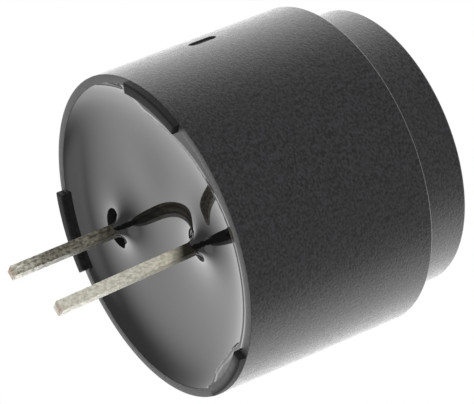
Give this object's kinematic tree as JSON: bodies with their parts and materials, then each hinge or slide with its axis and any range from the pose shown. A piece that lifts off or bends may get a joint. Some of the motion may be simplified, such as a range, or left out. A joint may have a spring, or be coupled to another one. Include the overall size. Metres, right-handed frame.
{
  "type": "magnetic buzzer",
  "caption": "Round self-driven magnetic buzzer for a circuit board: stepped black case with a sound port, resin-potted base and two square solder pins of unequal length.",
  "frame": {"origin": "where the body's axis meets the face of the circuit board that the stand-offs rest on", "axes": "+Z along the body's axis towards the sound port, +X from the axis towards the positive pin, pins pointing along -Z"},
  "size_m": [0.017, 0.017, 0.022],
  "materials": {
    "case_plastic": "black moulded plastic with a fine matte grain",
    "resin": "black potting resin, poured smooth and glossy",
    "tinned_pin": "dull mottled tin over brass, with bare cut ends",
    "board_laminate": "brown paper laminate",
    "solder": "bright tin solder",
    "chip_plastic": "black moulded epoxy",
    "chip_ceramic": "white fired ceramic",
    "chip_metal": "tin plated",
    "copper_wire": "enamelled copper wire",
    "steel": "plain zinc plated steel",
    "bobbin_plastic": "natural moulded plastic",
    "ferrite": "dark grey sintered ferrite",
    "ring_plastic": "white moulded plastic"
  },
  "bodies": {
    "root": {"case": "case_plastic", "potting_resin": "resin", "positive_pin": "tinned_pin", "negative_pin": "tinned_pin", "circuit_board": "board_laminate", "pin_solder": "solder", "drive_transistor": "chip_plastic", "transistor_legs": "chip_metal", "base_resistor": "chip_ceramic", "resistor_caps": "chip_metal", "flyback_diode": "chip_plastic", "diode_legs": "chip_metal", "coil_leads": "copper_wire", "lead_solder": "solder", "yoke_plate": "steel", "pole_core": "steel", "coil_bobbin": "bobbin_plastic", "drive_coil": "copper_wire", "feedback_coil": "copper_wire", "ring_magnet": "ferrite", "support_ring": "ring_plastic", "diaphragm": "steel", "armature_disc": "steel"}
  },
  "joints": []
}
